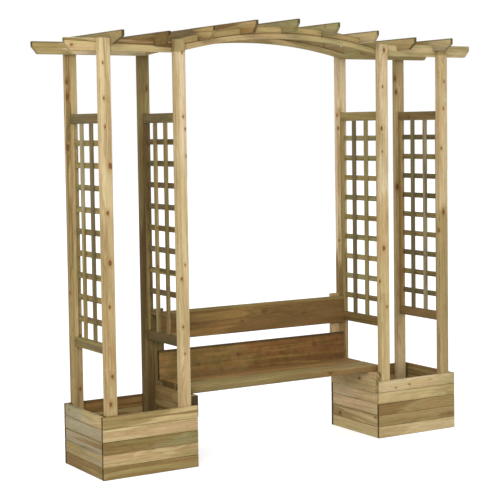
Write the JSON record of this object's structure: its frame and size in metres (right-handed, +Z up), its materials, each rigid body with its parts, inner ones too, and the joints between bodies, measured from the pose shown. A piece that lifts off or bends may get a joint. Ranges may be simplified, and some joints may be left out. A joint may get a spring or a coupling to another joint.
{
  "type": "arbour seat",
  "caption": "Wooden arbour seat: a plank bench hung between two planter boxes, with trellis sides and a roof of notched rafters on straight and arched beams.",
  "frame": {"origin": "on the ground, under the middle of the seat: the centre of the overall footprint", "axes": "+X to the right of someone who faces the bench, +Y to the back, +Z up"},
  "size_m": [2.79, 0.76, 2.523],
  "materials": {
    "planter_boards": "sawn, pressure-treated",
    "planter_inner_timber": "sawn, pressure-treated",
    "posts": "planed, pressure-treated",
    "beams": "planed, pressure-treated",
    "rafters": "planed, pressure-treated",
    "trellis": "sawn, pressure-treated",
    "seat_planks": "planed, pressure-treated",
    "back_boards": "planed, pressure-treated",
    "bearers": "sawn, pressure-treated"
  },
  "bodies": {
    "root": {"arch_front_lower_strip": "beams", "arch_front_upper_strip": "beams", "arch_rear_lower_strip": "beams", "arch_rear_upper_strip": "beams", "back_batten_left": "bearers", "back_batten_right": "bearers", "back_board_lower": "back_boards", "back_board_upper": "back_boards", "beam_left_front": "beams", "beam_left_rear": "beams", "beam_right_front": "beams", "beam_right_rear": "beams", "planter_left_corner_cleats": "planter_inner_timber", "planter_left_floor_bearers": "planter_inner_timber", "planter_left_floor_slats": "planter_inner_timber", "planter_left_front_boards": "planter_boards", "planter_left_inner_boards": "planter_boards", "planter_left_outer_boards": "planter_boards", "planter_left_rear_boards": "planter_boards", "planter_right_corner_cleats": "planter_inner_timber", "planter_right_floor_bearers": "planter_inner_timber", "planter_right_floor_slats": "planter_inner_timber", "planter_right_front_boards": "planter_boards", "planter_right_inner_boards": "planter_boards", "planter_right_outer_boards": "planter_boards", "planter_right_rear_boards": "planter_boards", "post_left_inner_front": "posts", "post_left_inner_rear": "posts", "post_left_outer_front": "posts", "post_left_outer_rear": "posts", "post_right_inner_front": "posts", "post_right_inner_rear": "posts", "post_right_outer_front": "posts", "post_right_outer_rear": "posts", "rafter_1": "rafters", "rafter_2": "rafters", "rafter_3": "rafters", "rafter_4": "rafters", "rafter_5": "rafters", "rafter_6": "rafters", "rafter_7": "rafters", "rafter_8": "rafters", "rafter_9": "rafters", "seat_bearer_left": "bearers", "seat_bearer_right": "bearers", "seat_plank_front": "seat_planks", "seat_plank_rear": "seat_planks", "trellis_left_inner_battens": "trellis", "trellis_left_inner_rails": "trellis", "trellis_left_inner_slats": "trellis", "trellis_left_outer_battens": "trellis", "trellis_left_outer_rails": "trellis", "trellis_left_outer_slats": "trellis", "trellis_right_inner_battens": "trellis", "trellis_right_inner_rails": "trellis", "trellis_right_inner_slats": "trellis", "trellis_right_outer_battens": "trellis", "trellis_right_outer_rails": "trellis", "trellis_right_outer_slats": "trellis"}
  },
  "joints": []
}
